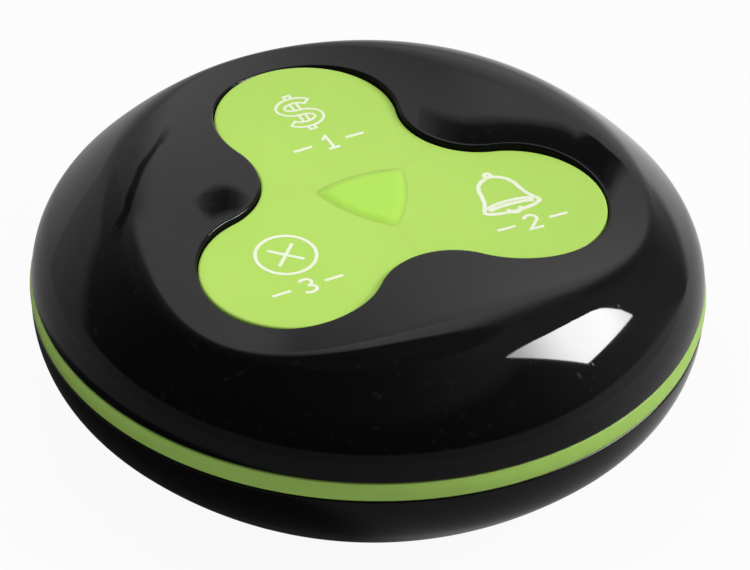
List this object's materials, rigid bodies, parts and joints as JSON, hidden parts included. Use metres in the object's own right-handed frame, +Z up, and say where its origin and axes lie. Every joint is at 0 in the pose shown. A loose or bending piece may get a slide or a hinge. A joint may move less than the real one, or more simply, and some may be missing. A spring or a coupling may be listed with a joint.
{
  "type": "waiter call button",
  "caption": "Round table-top call button: glossy two-shell case with a contrasting waist ring, a soft cloverleaf keypad in a dished top and a twist-off battery door underneath.",
  "frame": {"origin": "on the table, under the middle of the case, at the underside of the rubber feet", "axes": "+Z up; +Y towards the bill key, so that the marks on the keys read upright from -Y; +X to the right"},
  "size_m": [0.0864, 0.0864, 0.0343],
  "materials": {
    "black_gloss": "high-gloss moulded ABS",
    "lime_ring": "satin moulded ABS",
    "lime_silicone": "soft matte translucent silicone",
    "black_matte": "fine matte",
    "white_plastic": "matte",
    "board_green": "solder mask",
    "steel": "plain steel",
    "chip_ceramic": "ceramic",
    "black_rubber": "matte rubber",
    "lead_insulation": "PVC insulation"
  },
  "bodies": {
    "case": {"top_shell": "black_gloss", "trim_ring": "lime_ring", "base_shell": "black_gloss", "keypad_hub": "lime_silicone", "keypad_support": "white_plastic", "circuit_board": "board_green", "status_led": "white_plastic", "encoder_chip": "black_matte", "resonator_can": "steel", "board_components": "chip_ceramic", "board_screws": "steel", "case_screws": "steel", "coin_cell": "steel", "cap_contact": "steel", "side_contact": "steel", "battery_leads": "lead_insulation", "rubber_feet": "black_rubber", "bill_switch": "black_matte", "call_switch": "black_matte", "cancel_switch": "black_matte"},
    "door": {"battery_door": "black_matte", "door_seal": "black_rubber"},
    "bill_key": {"bill_key": "lime_silicone"},
    "bill_stem": {"bill_switch_stem": "white_plastic"},
    "call_key": {"call_key": "lime_silicone"},
    "call_stem": {"call_switch_stem": "white_plastic"},
    "cancel_key": {"cancel_key": "lime_silicone"},
    "cancel_stem": {"cancel_switch_stem": "white_plastic"}
  },
  "joints": [
    {"name": "bill_key_press", "type": "hinge", "parent": "case", "child": "bill_key", "pos_m": [0, 0.00717, 0.0305], "axis": [-1, 0, 0], "range_deg": [0, 1.5], "stiffness_Nm_per_rad": 0.6},
    {"name": "call_key_press", "type": "hinge", "parent": "case", "child": "call_key", "pos_m": [0.0062, -0.00358, 0.0305], "axis": [0.5, 0.866, 0], "range_deg": [0, 1.5], "stiffness_Nm_per_rad": 0.6},
    {"name": "cancel_key_press", "type": "hinge", "parent": "case", "child": "cancel_key", "pos_m": [-0.0062, -0.00358, 0.0305], "axis": [0.5, -0.866, 0], "range_deg": [0, 1.5], "stiffness_Nm_per_rad": 0.6},
    {"name": "bill_stem_press", "type": "slide", "parent": "case", "child": "bill_stem", "axis": [0, 0, -1], "range_m": [0, 0.0003]},
    {"name": "call_stem_press", "type": "slide", "parent": "case", "child": "call_stem", "axis": [0, 0, -1], "range_m": [0, 0.0003]},
    {"name": "cancel_stem_press", "type": "slide", "parent": "case", "child": "cancel_stem", "axis": [0, 0, -1], "range_m": [0, 0.0003]},
    {"name": "battery_door_twist", "type": "hinge", "parent": "case", "child": "door", "pos_m": [0, 0, 0.0008], "axis": [0, 0, 1], "range_deg": [0, 30]}
  ],
  "couplings": [
    {"joint": "bill_stem_press", "follows": "bill_key_press", "m_per_rad": 0.0113},
    {"joint": "call_stem_press", "follows": "call_key_press", "m_per_rad": 0.0113},
    {"joint": "cancel_stem_press", "follows": "cancel_key_press", "m_per_rad": 0.0113}
  ]
}
